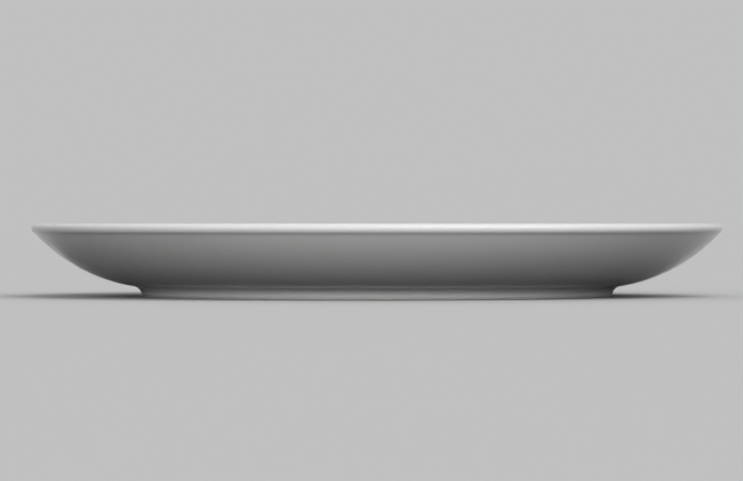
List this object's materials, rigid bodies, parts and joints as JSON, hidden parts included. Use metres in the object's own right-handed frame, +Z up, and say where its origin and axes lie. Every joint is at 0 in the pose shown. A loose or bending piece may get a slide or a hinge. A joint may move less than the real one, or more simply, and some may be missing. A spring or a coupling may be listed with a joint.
{
  "type": "coupe plate",
  "caption": "Round white glazed porcelain coupe plate with a flat well, a wall that sweeps up to a rounded lip, and a low foot ring with a bare standing edge.",
  "frame": {"origin": "centre of the standing ring, on the surface that the plate stands on", "axes": "+Z up along the plate's axis of revolution; X and Y are alike, because the plate is round"},
  "size_m": [0.3, 0.3, 0.0318],
  "materials": {
    "bare_porcelain": "fired and polished, unglazed",
    "white_glaze": "clear gloss over white porcelain"
  },
  "bodies": {
    "root": {"porcelain_body": "bare_porcelain", "face_glaze": "white_glaze", "base_glaze": "white_glaze"}
  },
  "joints": []
}
